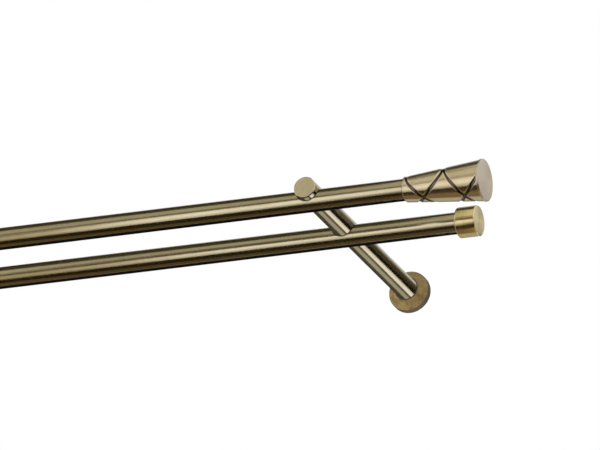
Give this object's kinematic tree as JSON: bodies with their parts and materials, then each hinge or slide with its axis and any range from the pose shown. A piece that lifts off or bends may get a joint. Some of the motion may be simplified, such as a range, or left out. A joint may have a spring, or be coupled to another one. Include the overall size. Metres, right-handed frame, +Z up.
{
  "type": "double curtain pole",
  "caption": "Double curtain pole with inside tracks in antique brass: slotted round poles gripped from above by wall rods, cone finials in front, plain drum caps behind.",
  "frame": {"origin": "on the wall, midway between the two rods' stud holes, at the height of the rods' axes", "axes": "+X along the poles to the right seen from the room, +Y into the wall, +Z up"},
  "size_m": [0.918, 0.2151, 0.0367],
  "materials": {
    "pole_brass": "satin antique brass tube",
    "rod_brass": "satin antique brass bar, turned end",
    "rosette_brass": "turned antique brass",
    "finial_brass": "turned antique brass, blackened grooves",
    "cap_brass": "turned antique brass",
    "screw_steel": "blackened steel"
  },
  "bodies": {
    "root": {"bracket_rod_left": "rod_brass", "bracket_rod_right": "rod_brass", "end_cap_left": "cap_brass", "end_cap_right": "cap_brass", "end_cap_screw_left": "screw_steel", "end_cap_screw_right": "screw_steel", "finial_left": "finial_brass", "finial_right": "finial_brass", "finial_screw_left": "screw_steel", "finial_screw_right": "screw_steel", "front_clamp_screw_left": "screw_steel", "front_clamp_screw_right": "screw_steel", "front_pole": "pole_brass", "rear_clamp_screw_left": "screw_steel", "rear_clamp_screw_right": "screw_steel", "rear_pole": "pole_brass", "rosette_left": "rosette_brass", "rosette_right": "rosette_brass", "rosette_screw_left": "screw_steel", "rosette_screw_right": "screw_steel"}
  },
  "joints": []
}
